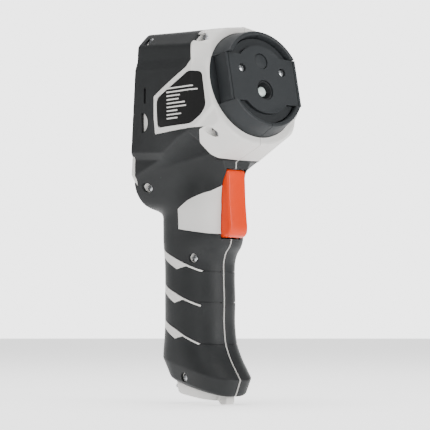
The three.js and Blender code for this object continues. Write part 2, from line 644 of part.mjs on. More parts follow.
// ---------------------------------------------------------------- base door
const DOOR_TOP = HANDLE[0];
const DOOR = [
  { z: 0.4, tilt: 0.15, front: 21, back: 7, half: 11.6, drop: 5 },
  { z: 1.6, tilt: 0.17, front: 23, back: 9, half: 13, drop: 5 },
];
function doorRing(z, tilt, front, back, half) {
  return Array.from({ length: OUTER_SIDES }, (_, i) => {
    const angle = (2 * Math.PI * i) / OUTER_SIDES;
    const bend = (value) => Math.sign(value) * Math.abs(value) ** (2 / 3);
    const y = (Math.sin(angle) < 0 ? front : back) * bend(Math.sin(angle));
    return new THREE.Vector3(half * bend(Math.cos(angle)), y, z + tilt * y);
  });
}
const doorBlank = unite(
  loft([
    doorRing(DOOR[0].z + DOOR[0].drop, DOOR[0].tilt, DOOR[0].front, DOOR[0].back, DOOR[0].half),
    doorRing(DOOR[1].z + DOOR[1].drop, DOOR[1].tilt, DOOR[1].front, DOOR[1].back, DOOR[1].half),
    doorRing(DOOR_TOP.z - 0.5, DOOR_TOP.tilt, 24, 10, 13.8),
  ]),
  sidePrism([[-20, 3.2], [-20, 6.8], [-28.4, 4.8], [-28.4, 1.4], [-27, 0], [-23, 0]], [-3, 3]),
);
const doorShape = cut(
  doorBlank,
  ...[-1, 1].map((side) => sideBar(5, side < 0 ? [-16, -4] : [4, 16], [-25.5, 2.6], 16)),
  hingeRoom(8.2),
  mirrorX(hingeRoom(8.2)),
  sideBar(1.2 + 0.1, [-12, 12], hingePinPlace, 12),
);
add('base_door', doorShape, LIGHT_GREY, 0.5);
add('door_pin', sideBar(1.2, [-11, 11], hingePinPlace, 12), STEEL, 0.3, 0.9);

export default model;
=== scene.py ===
"""Looks of a pistol-grip imaging infrared thermometer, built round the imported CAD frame.

Shapes are worked out in millimetres, with z measured from the lowest point of the base, and
turned into metres in the frame of the CAD when a mesh is made. X is across, -Y is forward.
"""
import json
import math

import bmesh
import bpy
import numpy as np
from mathutils import Matrix, Vector


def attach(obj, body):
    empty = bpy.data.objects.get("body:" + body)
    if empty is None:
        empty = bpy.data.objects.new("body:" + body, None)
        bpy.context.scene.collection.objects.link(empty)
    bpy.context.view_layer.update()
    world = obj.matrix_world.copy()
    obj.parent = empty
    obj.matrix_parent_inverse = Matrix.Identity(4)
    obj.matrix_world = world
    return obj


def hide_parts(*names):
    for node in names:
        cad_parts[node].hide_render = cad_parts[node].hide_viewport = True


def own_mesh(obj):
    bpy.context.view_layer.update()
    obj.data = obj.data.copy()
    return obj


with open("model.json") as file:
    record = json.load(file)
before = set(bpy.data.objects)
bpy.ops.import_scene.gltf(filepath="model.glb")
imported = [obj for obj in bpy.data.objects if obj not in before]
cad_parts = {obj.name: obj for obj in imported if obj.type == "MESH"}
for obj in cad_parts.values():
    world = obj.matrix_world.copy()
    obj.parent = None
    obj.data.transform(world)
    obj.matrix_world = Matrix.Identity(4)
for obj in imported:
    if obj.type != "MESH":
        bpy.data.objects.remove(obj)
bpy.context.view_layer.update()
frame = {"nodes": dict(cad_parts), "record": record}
SCENE = bpy.context.scene

# ------------------------------------------------------------------ driving dimensions, mm
GRIP_HEIGHT = 62.0               # origin of the frame above the base
GAP = 0.3                        # between pieces that meet
SEAM = 0.15                      # half of the gap between the left and right mouldings
SKIN = 1.6                       # overmould
WALL = 3.4                       # outer surface to the inner cavity
LABEL = 1.2
CELL_SIZE = 0.6   # grid of the moulded surfaces

DISPLAY_TILT = math.radians(4.2)
DISPLAY_FOOT = Vector((0, 17.2, 135))
FRAME_DEPTH = 2.2
LENS_TILT = math.radians(11.85)
RING_CENTRE = Vector((0, -60.2, 189.2))
COLLAR_SETBACK = 12.0
COLLAR_R = 37.0
COLLAR_FLAT = 29.0

RING_TOP_R = 29.3
RING_BASE_R = 32.0
RIM_INNER_R = 26.6
BAND_HALF = 14.2
BAND_FLAT = 27.0
BAND_SETBACK = 1.8
DISC_R = 20.8
FLOOR_SETBACK = 3.8
RING_REAR = 13.5
LENS_U = -6.4
LENS_HOLE_R = 6.0
WINDOW_U = 11.2
WINDOW_R = 4.8
FACE_SCREW = (15.4, 5.8)

SCREEN = {"half": 33.0, "low": 28.0, "high": 76.0}
KEY_ROW = 13.0
TRIGGER_HALF = 7.1
TRIGGER_PIVOT = (-24.5, 133.0)
TRIGGER_ROOM = (97.2, 138.5)     # lowest and highest point of its opening
CELL = {"y": 6.6, "r": 9.15}

TURN = 160                       # sides of a full round


# ------------------------------------------------------------------ frames
def basis(x_axis, y_axis, z_axis, origin):
    """A matrix whose columns are three directions and an origin."""
    matrix = Matrix((x_axis, y_axis, z_axis)).transposed().to_4x4()
    matrix.translation = origin
    return matrix


DISPLAY = basis(
    (1, 0, 0),
    (0, -math.sin(DISPLAY_TILT), math.cos(DISPLAY_TILT)),
    (0, -math.cos(DISPLAY_TILT), -math.sin(DISPLAY_TILT)),
    DISPLAY_FOOT,
)                                # x across, y up the display, z into the head
LENS = basis(
    (1, 0, 0),
    (0, math.sin(LENS_TILT), math.cos(LENS_TILT)),
    (0, -math.cos(LENS_TILT), math.sin(LENS_TILT)),
    RING_CENTRE,
)                                # x across, y up the face, z out of the lens
PLAIN = Matrix.Identity(4)
SIDE = basis((0, 1, 0), (0, 0, 1), (1, 0, 0), (0, 0, 0))   # x, y are Y, Z of the model


# ------------------------------------------------------------------ mesh helpers
def make(name, points, faces):
    """An object from points in millimetres above the base."""
    co = (np.asarray(points, float) - (0, 0, GRIP_HEIGHT)) * 0.001
    mesh = bpy.data.meshes.new(name)
    mesh.from_pydata(co.tolist(), [], [list(map(int, f)) for f in faces])
    mesh.update()
    shape = bpy.data.objects.new(name, mesh)
    SCENE.collection.objects.link(shape)
    return shape


def outward(shape):
    """Turns the faces of a closed mesh outward."""
    edit = bmesh.new()
    edit.from_mesh(shape.data)
    bmesh.ops.recalc_face_normals(edit, faces=edit.faces)
    if edit.calc_volume(signed=True) < 0:
        bmesh.ops.reverse_faces(edit, faces=edit.faces)
    edit.to_mesh(shape.data)
    edit.free()
    return shape


def bake(shape):
    """Applies the modifiers of a piece to its mesh."""
    graph = bpy.context.evaluated_depsgraph_get()
    mesh = bpy.data.meshes.new_from_object(shape.evaluated_get(graph))
    shape.modifiers.clear()
    old = shape.data
    shape.data = mesh
    bpy.data.meshes.remove(old)
    return shape


def combine(shape, tools, operation):
    for tool in tools:
        modifier = shape.modifiers.new("combine", "BOOLEAN")
        modifier.operation = operation
        modifier.solver = "MANIFOLD"
        modifier.object = tool
        bake(shape)
    return shape


def cut(shape, *tools):
    return combine(shape, tools, "DIFFERENCE")


def join(shape, *tools):
    return combine(shape, tools, "UNION")


def keep(shape, *tools):
    return combine(shape, tools, "INTERSECT")


def copy(shape, name="tool"):
    twin = bpy.data.objects.new(name, shape.data.copy())
    SCENE.collection.objects.link(twin)
    return twin


def mirror(shape, name="tool"):
    """A twin on the other side of X = 0."""
    twin = copy(shape, name)
    twin.data.transform(Matrix.Scale(-1, 4, (1, 0, 0)))
    twin.data.flip_normals()
    return twin


def drop(*shapes):
    """Removes tools that are no longer needed, with their meshes."""
    for shape in shapes:
        mesh = shape.data
        bpy.data.objects.remove(shape)
        bpy.data.meshes.remove(mesh)


def prism(outline, low, high, place=PLAIN, name="tool"):
    """A closed prism on an outline of (x, y), from z low to high of a frame."""
    count = len(outline)
    points = [place @ Vector((x, y, z)) for z in (low, high) for x, y in outline]
    sides = [(i, (i + 1) % count, (i + 1) % count + count, i + count) for i in range(count)]
    caps = [tuple(range(count))[::-1], tuple(range(count, 2 * count))]
    return outward(make(name, points, sides + caps))


def block(xs, ys, zs, place=PLAIN, name="tool"):
    (x0, x1), (y0, y1) = xs, ys
    return prism([(x0, y0), (x1, y0), (x1, y1), (x0, y1)], *zs, place, name)


def ring_of(radius, centre=(0, 0), sides=TURN):
    step = 2 * math.pi / sides
    return [
        (centre[0] + radius * math.cos(i * step), centre[1] + radius * math.sin(i * step))
        for i in range(sides)
    ]


def rod(radius, zs, centre=(0, 0), place=PLAIN, sides=48, name="tool"):
    return prism(ring_of(radius, centre, sides), *zs, place, name)


def side_prism(outline, xs, name="tool"):
    """A prism across the object on its side view outline of (y, z)."""
    return prism(outline, *xs, SIDE, name)


def side_rod(radius, xs, centre, sides=48, name="tool"):
    return rod(radius, xs, centre, SIDE, sides, name)


def turned(profile, centre=(0, 0), place=PLAIN, sides=TURN, name="tool"):
    """A body of revolution from a closed profile of (radius, z)."""
    step = 2 * math.pi / sides
    points, index = [], {}
    for j, (r, z) in enumerate(profile):
        for i in range(sides if r > 1e-6 else 1):
            index[j, i] = len(points)
            corner = (centre[0] + r * math.cos(i * step), centre[1] + r * math.sin(i * step), z)
            points.append(place @ Vector(corner))
    on_axis = [r <= 1e-6 for r, _ in profile]
    faces = []
    for j in range(len(profile)):
        k = (j + 1) % len(profile)
        if on_axis[j] and on_axis[k]:
            continue
        for i in range(sides):
            n = (i + 1) % sides
            corners = [index[j, 0 if on_axis[j] else i], index[k, 0 if on_axis[k] else i]]
            if not on_axis[k]:
                corners.append(index[k, n])
            if not on_axis[j]:
                corners.append(index[j, n])
            faces.append(corners)
    return outward(make(name, points, faces))


def inset(outline, distance):
    """Moves every side of a closed outline inward by a distance (outward if negative)."""
    points = [Vector(p) for p in outline]
    count = len(points)
    area = sum(points[i].cross(points[(i + 1) % count]) for i in range(count))
    side = math.copysign(distance, area) if distance > 0 else -math.copysign(distance, area)
    moved = []
    for i, point in enumerate(points):
        before = (point - points[i - 1]).normalized()
        after = (points[(i + 1) % count] - point).normalized()
        miter = Vector((-before.y - after.y, before.x + after.x))
        moved.append(tuple(point + miter * (2 * side / miter.length_squared)))
    return moved


def rounded(outline, radius, steps=6):
    """Rounds every corner of a closed outline with an arc-like curve."""
    result = []
    count = len(outline)
    for i in range(count):
        corner = Vector(outline[i])
        before = Vector(outline[i - 1]) - corner
        after = Vector(outline[(i + 1) % count]) - corner
        reach = min(radius, before.length / 2.2, after.length / 2.2)
        start = corner + before.normalized() * reach
        end = corner + after.normalized() * reach
        for step in range(steps + 1):
            t = step / steps
            point = start * (1 - t) ** 2 + corner * 2 * t * (1 - t) + end * t ** 2
            result.append(tuple(point))
    return result


def mirrored(half):
    """A whole outline from its half, listed from the top centre to the bottom centre."""
    return list(half) + [(-x, y) for x, y in half[-2:0:-1]]


def soften(shape, width, segments=3, angle=35):
    """Rounds the edges of a piece and applies the result."""
    modifier = shape.modifiers.new("edges", "BEVEL")
    modifier.width = width * 0.001
    modifier.segments = segments
    modifier.limit_method = "ANGLE"
    modifier.angle_limit = math.radians(angle)
    modifier.harden_normals = False
    return bake(shape)


def smooth(shape, angle=32):
    """Smooth shading with creases where the surface turns sharply."""
    shape.data.shade_smooth()
    shape.data.set_sharp_from_angle(angle=math.radians(angle))
    return shape


# ------------------------------------------------------------------ moulded outer surface
def smooth_max(a, b, width):
    near = np.maximum(width - np.abs(a - b), 0) / width
    return np.maximum(a, b) + near * near * (width / 4)


def smooth_min(a, b, width):
    return -smooth_max(-a, -b, width)


def plane(a, b, c, inside):
    """Normal and offset of the plane through three points, facing away from a fourth."""
    a, b, c, inside = map(np.array, (a, b, c, inside))
    normal = np.cross(b - a, c - a).astype(float)
    normal /= np.linalg.norm(normal)
    offset = normal @ a
    if normal @ inside > offset:
        normal, offset = -normal, -offset
    return normal, offset


SHOULDER_DEPTH = 50.0
# The head's sides: half width, how it tapers with depth, and how it leans in at the lower front.
SIDE_HALF = 40.0
SIDE_TAPER = 0.0094
LOWER_LEAN = 2.2
LEAN_HEIGHTS = (34.0, 19.0)      # where the lean starts, and the height it takes
LEAN_DEPTHS = (2.0, 24.0)        # the same in depth, which LOWER_STEP_GAIN follows too
# The recessed strips above and below the raised middle: depth of their steps, and the bands.
UPPER_STEP = 1.3
LOWER_STEP = 1.9
LOWER_STEP_GAIN = 0.9            # added towards the front
UPPER_BAND = (63.8, 4.8)         # foot and height
LOWER_BAND_TOP = (14.4, 29.0)    # height, and the depth from which the band climbs
LOWER_BAND_FOOT = (10.4, 25.5)
BAND_CLIMB = 0.567
# The crown of the head: its height and its rise with depth, then how far it has dropped at
# CROWN_HALF from the middle, and what depth adds to that.
CROWN_HEIGHT = 87.5
CROWN_RISE = 0.042
CROWN_DROP = 1.5
CROWN_DROP_GAIN = 0.058
CROWN_HALF = 31.0
# Widths over which the faces of the head run into each other.
SIDE_BLEND = 0.8
BELLY_BLEND = 1.2
CHEEK_BLEND = 4.0
INSIDE_HEAD = (5, 40, 25)
# Flat faces of the head and of the cheeks: three points of x, height and depth in the display
# frame, and the width over which the edge is rounded.
HEAD_FACES = [
    ((31.2, 86, 0), (39.6, 77.1, 0), (30, 85.2, 50), 1.2),
    ((39.7, 40, 32), (39.7, 0, 32), (37.6, 40, 50), 1.0),
]
CHEEK_FACES = [
    ((28.4, -17.2, 0), (18, -21, 0), (21, -16, 32), 6.0),
    ((18, -21, 0), (0, -22.5, 0), (12, -19, 32), 5.0),
]
# Planes under the head: outward normal and offset, with z above the base.
FLANK = ((0.530, -0.363, -0.766), -88.6)
BELLY = ((0.330, -0.405, -0.853), -107.8)
CHIN = ((0, -0.429, -0.903), -111.9)
CHEEK = ((0.764, -0.493, -0.414), -34.0)
SHOULDER = [
    (0, 89.6), (16, 88.4), (30, 85.2), (37.6, 77.4), (36.9, 68.6), (37.6, 62.5), (37.6, 25.5),
    (36.4, 21.5), (36, 12.4), (31, 11.9), (24, 11.6), (17, 11.4), (9, 11.3), (0, 11.2),
]


def collar_outline():
    """Front outline of the collar in the lens plane: a circle with flats and a fuller middle."""
    def arc(x):
        return math.sqrt(COLLAR_R ** 2 - x ** 2)
    return [
        (0, COLLAR_R), (13, arc(13)), (22, arc(22)), (COLLAR_FLAT, arc(COLLAR_FLAT)),
        (COLLAR_FLAT, 14.5), (33.4, 8), (33.4, -15), (31.5, -16.5),
        (COLLAR_FLAT, -arc(COLLAR_FLAT)), (26, -arc(26)), (20.5, -arc(20.5)), (14, -arc(14)),
        (7, -arc(7)), (0, -COLLAR_R),
    ]


def side_limit(v, d):
    """Half width of the head: a raised middle between two recessed strips."""
    def band_line(height, start):
        return height + BAND_CLIMB * np.maximum(d - start, 0)
    forward = np.clip((d - LEAN_DEPTHS[0]) / LEAN_DEPTHS[1], 0, 1)
    lean = LOWER_LEAN * forward * np.clip((LEAN_HEIGHTS[0] - v) / LEAN_HEIGHTS[1], 0, 1)
    upper = np.clip((v - UPPER_BAND[0]) / UPPER_BAND[1], 0, 1)
    top, foot = band_line(*LOWER_BAND_TOP), band_line(*LOWER_BAND_FOOT)
    lower = np.clip((top - v) / (top - foot), 0, 1)
    lower_step = (LOWER_STEP + LOWER_STEP_GAIN * forward) * lower
    return SIDE_HALF - SIDE_TAPER * d - lean - UPPER_STEP * upper - lower_step


def beyond(face, x, y, z):
    """Distance outside a plane given by its normal and offset."""
    (a, b, c), offset = face
    return a * x + b * y + c * z - offset


def with_faces(field, faces, x, v, d):
    """The field cut by flat faces, each with a rounded edge."""
    for a, b, c, width in faces:
        normal, offset = plane(a, b, c, INSIDE_HEAD)
        face = normal[0] * x + normal[1] * v + normal[2] * d - offset
        field = smooth_max(field, face, width)
    return field


def head_field(x, y, z, v, d):
    """About the distance outside the rear part of the head."""
    crown_drop = (CROWN_DROP + CROWN_DROP_GAIN * d) * (x / CROWN_HALF) ** 2
    crown = CROWN_HEIGHT + CROWN_RISE * d - crown_drop
    field = smooth_max(v - crown, x - side_limit(v, d), SIDE_BLEND)
    field = with_faces(field, HEAD_FACES, x, v, d)
    upper = smooth_max(field, beyond(FLANK, x, y, z), SIDE_BLEND)
    upper = smooth_max(upper, beyond(BELLY, x, y, z), BELLY_BLEND)
    cheek = smooth_max(field, beyond(CHEEK, x, y, z), CHEEK_BLEND)
    cheek = with_faces(cheek, CHEEK_FACES, x, v, d)
    return np.maximum(smooth_min(upper, cheek, BELLY_BLEND), d - SHOULDER_DEPTH - 0.5)


def collar_field(x, v, d, w):
    """About the distance outside the collar, which runs from the shoulder to the lens plane."""
    ahead = np.maximum(d - SHOULDER_DEPTH, 0.0)
    behind = np.maximum(-COLLAR_SETBACK - w, 0.0)
    share = ahead / np.maximum(ahead + behind, 1e-6)
    to_display = DISPLAY.inverted() @ LENS
    to_lens = LENS.inverted() @ DISPLAY
    xs, vs = [], []
    for (sx, sv), (cx, cu) in zip(SHOULDER, collar_outline()):
        front = to_display @ Vector((cx, cu, -COLLAR_SETBACK))
        start = to_lens @ Vector((sx, sv, SHOULDER_DEPTH))
        reach, depth = front.z - SHOULDER_DEPTH, -COLLAR_SETBACK - start.z
        along = share * depth / (reach * (1 - share) + share * depth)
        xs.append(sx + (cx - sx) * along)
        vs.append(sv + (front.y - sv) * along)
    nearest = np.full(x.shape, 1e9, np.float32)
    inside = np.zeros(x.shape, bool)
    for i in range(len(xs) - 1):
        ex, ev = xs[i + 1] - xs[i], vs[i + 1] - vs[i]
        px, pv = x - xs[i], v - vs[i]
        t = np.clip((px * ex + pv * ev) / (ex * ex + ev * ev), 0, 1)
        nearest = np.minimum(nearest, np.hypot(px - t * ex, pv - t * ev))
        crosses = (vs[i] > v) != (vs[i + 1] > v)
        at = xs[i] + ex * (v - vs[i]) / np.where(np.abs(ev) < 1e-6, 1e-6, ev)
        inside ^= crosses & (at > x)
    side = np.where(inside, -nearest, nearest)
    front = smooth_max(side, w + COLLAR_SETBACK, 1.4)
    return np.maximum(front, SHOULDER_DEPTH - d)


# Sections of the handle from the base up: height on the axis, forward tilt, reach to the front
# and to the back, half width and squareness.
HANDLE = [
    (12.6, 0.25, 32.4, 11, 15.4, 2.8), (14.4, 0.25, 33.6, 13.6, 17.4, 2.8),
    (23.6, 0.245, 37.5, 21.5, 18.9, 2.8), (29.5, 0.19, 30.5, 21.9, 18.9, 2.6),
    (36.5, 0.12, 25, 22, 18.8, 2.4), (46, 0.06, 23, 22.1, 18.8, 2.25),
    (61.5, 0, 23, 22.1, 18.8, 2.25), (77, 0, 22.4, 22.1, 18.8, 2.25),
    (85.5, 0, 22.9, 22.1, 18.9, 2.3), (89.3, 0, 24.5, 22, 19, 2.4),
    (93, 0, 28, 22, 19.1, 2.5), (96.5, 0, 29.4, 21.9, 19.2, 2.6), (104, 0, 29.5, 21.6, 19.6, 2.6),
    (110, 0, 29.5, 20.4, 20.2, 2.7), (116, 0, 29.6, 18, 20.9, 2.8), (124, 0, 29.5, 12, 21.3, 2.7),
    (138, 0, 29, 8, 20.5, 2.5), (146, 0, 30, 6, 20, 2.5),
]


def handle_table():
    """The handle's sections at close steps, with smooth curves between the listed ones."""
    rows = np.array(HANDLE)
    heights = rows[:, 0]
    slopes = np.gradient(rows, heights, axis=0)
    fine = np.linspace(heights[0], heights[-1], 400)
    k = np.clip(np.searchsorted(heights, fine) - 1, 0, len(heights) - 2)
    span = (heights[k + 1] - heights[k])[:, None]
    t = (fine[:, None] - heights[k][:, None]) / span
    start, end = rows[k], rows[k + 1]
    a, b = slopes[k] * span, slopes[k + 1] * span
    curve = (
        (2 * t ** 3 - 3 * t ** 2 + 1) * start + (t ** 3 - 2 * t ** 2 + t) * a
        + (3 * t ** 2 - 2 * t ** 3) * end + (t ** 3 - t ** 2) * b
    )
    sharp = (heights[k] < 25)[:, None]           # the flare at the base keeps its crease
    return np.where(sharp, start + (end - start) * t, curve)


def handle_field(x, y, z):
    """About the distance outside the handle."""
    table = handle_table()
    level = z.copy()
    for _ in range(3):
        level = z - np.interp(level, table[:, 0], table[:, 1]) * y
    front, back, half, power = (
        np.interp(level, table[:, 0], table[:, i]).astype(np.float32) for i in (2, 3, 4, 5)
    )
    reach = np.where(y < 0, front, back)
    share = ((x / half) ** power + (np.abs(y) / reach) ** power) ** (1 / power)
    radius = np.hypot(x, y)
    field = radius - radius / np.maximum(share, 1e-3)
    middle = share < 0.2
    field = np.where(middle, -8.0, field)
    bottom = (table[0, 0] - level) * 0.97
    top = level - table[-1, 0]
    return smooth_max(smooth_max(field, bottom, 1.2), top, 1.0)


GRID_LOW = (-1.8, -72.0, 0.0)
GRID_HIGH = (43.0, 27.0, 228.0)


def body_field():
    """The field of the whole moulding on a grid over its right half."""
    axes = [
        np.arange(low, high, CELL_SIZE, dtype=np.float32)
        for low, high in zip(GRID_LOW, GRID_HIGH)
    ]
    x, y, z = np.meshgrid(*axes, indexing="ij")
    x = np.abs(x)
    back, up = y - DISPLAY_FOOT.y, z - DISPLAY_FOOT.z
    sine, cosine = math.sin(DISPLAY_TILT), math.cos(DISPLAY_TILT)
    v, d = up * cosine - back * sine, -back * cosine - up * sine
    ahead, above = y - RING_CENTRE.y, z - RING_CENTRE.z
    w = above * math.sin(LENS_TILT) - ahead * math.cos(LENS_TILT)
    field = head_field(x, y, z, v, d)
    near = (d > SHOULDER_DEPTH - 3) & (w < 3 - COLLAR_SETBACK) & (z > 140)
    collar = np.full(x.shape, 30.0, np.float32)
    collar[near] = collar_field(x[near], v[near], d[near], w[near])
    collar = smooth_max(collar, beyond(FLANK, x, y, z), 0.8)
    collar = smooth_max(collar, beyond(CHIN, x, y, z), 1.5)
    field = smooth_min(field, collar, 0.6)
    field = smooth_max(field, -d, 0.8)
    field = smooth_min(field, handle_field(x, y, z), 5.0)
    return field.astype(np.float32)


def surface_net(field, name="tool"):
    """A closed mesh where the field is zero, with one point in each cell that it crosses."""
    field = field.copy()
    for axis in range(3):
        edge = [slice(None)] * 3
        for end in (0, -1):
            edge[axis] = end
            field[tuple(edge)] = np.maximum(field[tuple(edge)], 0.5 * CELL_SIZE)
    inside = field < 0
    count = np.zeros([n - 1 for n in field.shape], np.int8)
    corners = [(i, j, k) for i in (0, 1) for j in (0, 1) for k in (0, 1)]
    for i, j, k in corners:
        count += inside[i:i + count.shape[0], j:j + count.shape[1], k:k + count.shape[2]]
    cells = np.argwhere((count > 0) & (count < 8))
    number = np.full(count.shape, -1, np.int64)
    number[tuple(cells.T)] = np.arange(len(cells))
    total, hits = np.zeros((len(cells), 3)), np.zeros((len(cells), 1))
    for a in corners:
        for axis in range(3):
            if a[axis]:
                continue
            b = tuple(c + (n == axis) for n, c in enumerate(a))
            fa, fb = field[tuple((cells + a).T)], field[tuple((cells + b).T)]
            crosses = ((fa < 0) != (fb < 0))[:, None]
            t = (fa / np.where(crosses[:, 0], fa - fb, 1))[:, None]
            total += np.where(crosses, np.array(a) + t * (np.array(b) - np.array(a)), 0)
            hits += crosses
    points = (cells + total / hits) * CELL_SIZE + np.array(GRID_LOW)
    quads = []
    for axis in range(3):
        first, second = (axis + 1) % 3, (axis + 2) % 3
        low = np.take(inside, range(field.shape[axis] - 1), axis)
        high = np.take(inside, range(1, field.shape[axis]), axis)
        edges = np.argwhere(low != high)
        ring = []
        for a, b in ((1, 1), (0, 1), (0, 0), (1, 0)):
            cell = edges.copy()
            cell[:, first] -= a
            cell[:, second] -= b
            ring.append(number[tuple(cell.T)])
        ring = np.stack(ring, 1)
        flip = ~low[tuple(edges.T)]
        ring[flip] = ring[flip][:, ::-1]
        quads.append(ring)
    return make(name, points, np.concatenate(quads))


FIELD = body_field()


def surface(depth):
    """The moulding's right half, moved inward by a depth."""
    return surface_net(FIELD + np.float32(depth))


# ------------------------------------------------------------------ regions in side view, (y, z)
HEAD_BLACK = [
    (40, 240), (-37.3, 240), (-37.3, 199.5), (-33.4, 195.6), (-5.6, 181.1), (-5.6, 158.3),
    (-42.7, 159.9), (-40.8, 159), (-33.9, 151.4), (-33.4, 146.5), (-36.5, 142.8), (-37.5, 136),
    (-26, 125.6), (-12.9, 120.4), (-4.4, 115.7), (-3.4, 103.4), (-24, 100.2), (-45, 98.2),
    (-60, 60), (-60, -20), (40, -20),
]
STRIPES = [
    [(30, 100), (11.6, 91.3), (1, 87), (-8.7, 83), (-17.9, 79), (-17.4, 77.6), (-8.7, 81.2),
     (-1.2, 79.6), (11.5, 85.8), (30, 95)],
    [(30, 79.5), (11.5, 70.7), (-17.6, 58.5), (-17.2, 57.1), (-6.5, 61.4), (1, 59.6),
     (11.5, 65.2), (30, 74)],
    [(30, 57.5), (9.8, 48.7), (-0.8, 44.3), (-8.4, 40.4), (-17.6, 36.1), (-17.2, 34.7),
     (-6.2, 39.8), (0.5, 38.4), (9.8, 43.3), (30, 52.5)],
]
LABEL_OUTLINE = [
    (-8.9, 179), (-28.1, 188.9), (-35, 192.9), (-43.6, 191.9), (-46.8, 172), (-43.8, 167.5),
    (-36.6, 162.6), (-8.9, 162.3),
]
SLOT = {"y": (1.7, 3.6), "z": (177.6, 187)}
FINGER_RECESS = {"y": 5.8, "z": 166.3, "r": 5.9}
SHELL_SCREWS = [
    (-33.5, 4.2, 215.2), (-28, -39.5, 212.6), (-23.5, -45.5, 157.4), (-29, 10.6, 128.5),
    (-14.2, -13.5, 86.1), (-15.8, -7.1, 15.9),
]
SHELL_HEAD_R = 2.3
SHELL_SCREW_BOSS = 3.6
SHELL_SCREW_SEAT = 0.5
# half outline of the display frame, from the top centre to the bottom centre
FRAME_OUTLINE = [
    (0, 86.2), (16, 85.9), (30.6, 84.7), (38, 76.8), (38, 68.6), (38.2, 63.8), (38.2, 14.4),
    (39.1, 11), (39.1, 1.2), (35.2, -5), (31.6, -9.8), (26, -15.4), (16.5, -18.6), (0, -19.8),
]
FAR = 60.0                       # past the outside of the object


def black_region(grow):
    """A prism over the overmould's area, grown by a clearance."""
    start = SEAM + 0.5 - grow
    region = side_prism(inset(HEAD_BLACK, -grow), (start, FAR))
    stripes = [side_prism(inset(s, grow), (0, FAR + 1)) for s in STRIPES]
    cut(region, *stripes)
    drop(*stripes)
    return region


def finger_recess_outline():
    """A half circle below the card slot, with its round side to the front."""
    steps = 24
    return [
        (FINGER_RECESS["y"] - FINGER_RECESS["r"] * math.sin(math.pi * i / steps),
         FINGER_RECESS["z"] + FINGER_RECESS["r"] * math.cos(math.pi * i / steps))
        for i in range(steps + 1)
    ]


def slot_outline():
    (y0, y1), (z0, z1) = SLOT["y"], SLOT["z"]
    return rounded([(y0, z0), (y1, z0), (y1, z1), (y0, z1)], 0.9, 4)


# ------------------------------------------------------------------ shells and overmoulds
OUTER = surface(0)
UNDER = surface(SKIN)


def shell_rooms():
    """What the ring, the lens unit, the trigger, the cell and the display take from the shells."""
    return [
        rod(RING_BASE_R + GAP, (-RING_REAR - GAP, 2), place=LENS, sides=TURN),
        rod(23.6, (-30, 2), place=LENS, sides=TURN),
        block((-TRIGGER_HALF - 0.4, TRIGGER_HALF + 0.4), (-50, -17), TRIGGER_ROOM),
        rod(CELL["r"] + 2.3, (0, 30), (0, CELL["y"])),
        block((-35.4, 35.4), (0.8, 77.5), (-5, 8), DISPLAY),
        prism(inset(mirrored(FRAME_OUTLINE), -GAP), -8, FRAME_DEPTH + GAP, DISPLAY),
    ]


def label_room():
    room = side_prism(rounded(inset(LABEL_OUTLINE, -GAP), 2.6), (10, FAR))
    floor = surface(LABEL + GAP)
    cut(room, floor)
    drop(floor)
    return room


def make_right_shell():
    shell = copy(OUTER, "right_shell_visual")
    pocket, floor = black_region(GAP), surface(SKIN + GAP)
    cut(pocket, floor)
    cavity = surface(WALL)
    half = block((SEAM, 80), (-100, 60), (-20, 260))
    rooms = shell_rooms()
    label = label_room()
    cut(shell, pocket, cavity, label, *rooms)
    keep(shell, half)
    drop(pocket, floor, cavity, half, label, *rooms)
    return shell


def groove_tool():
    """Shallow lines that carry each stripe on round the front of the handle."""
    lines = []
    for stripe in STRIPES:
        y, z = stripe[4]
        lines.append(side_prism([(y + 1, z), (-40, z - 2.4), (-40, z - 3.0), (y + 1, z - 0.7)],
                                (2, FAR)))
    tool = join(lines[0], *lines[1:])
    floor = surface(0.5)
    cut(tool, floor)
    drop(floor, *lines[1:])
    return tool


def make_right_overmould():
    skin = copy(OUTER, "right_overmould_visual")
    region, rooms, grooves = black_region(0), shell_rooms(), groove_tool()
    keep(skin, region)
    cut(skin, UNDER, rooms[2], rooms[3], rooms[5], grooves)
    drop(region, grooves, *rooms)
    return skin


def make_right_label():
    plate = copy(OUTER, "right_label_visual")
    region = side_prism(rounded(LABEL_OUTLINE, 2.4), (10, FAR))
    floor = surface(LABEL)
    keep(plate, region)
    cut(plate, floor)
    drop(region, floor)
    return plate


# plain bars where the label has printed rows: height and length
LABEL_BARS = [(184.2, 21), (182, 24), (179.8, 11), (177.6, 10), (175.4, 15), (173.2, 16),
              (171, 9), (168.8, 12), (166.6, 9)]
LABEL_MARGIN = -17.5
PRINT = 0.08                     # how far the bars stand proud


def make_label_bars():
    """Short raised bars on the left label, in place of lettering."""
    bars = []
    for z, length in LABEL_BARS:
        ends = (LABEL_MARGIN - length, LABEL_MARGIN)
        outline = rounded([(ends[0], z - 0.4), (ends[1], z - 0.4), (ends[1], z + 0.4),
                           (ends[0], z + 0.4)], 0.3, 3)
        bars.append(side_prism(outline, (20, FAR)))
    whole = join(bars[0], *bars[1:])
    top, bottom = surface(-PRINT), surface(PRINT)
    keep(whole, top)
    cut(whole, bottom)
    left = mirror(whole, "label_bars_visual")
    drop(top, bottom, *bars)
    return left


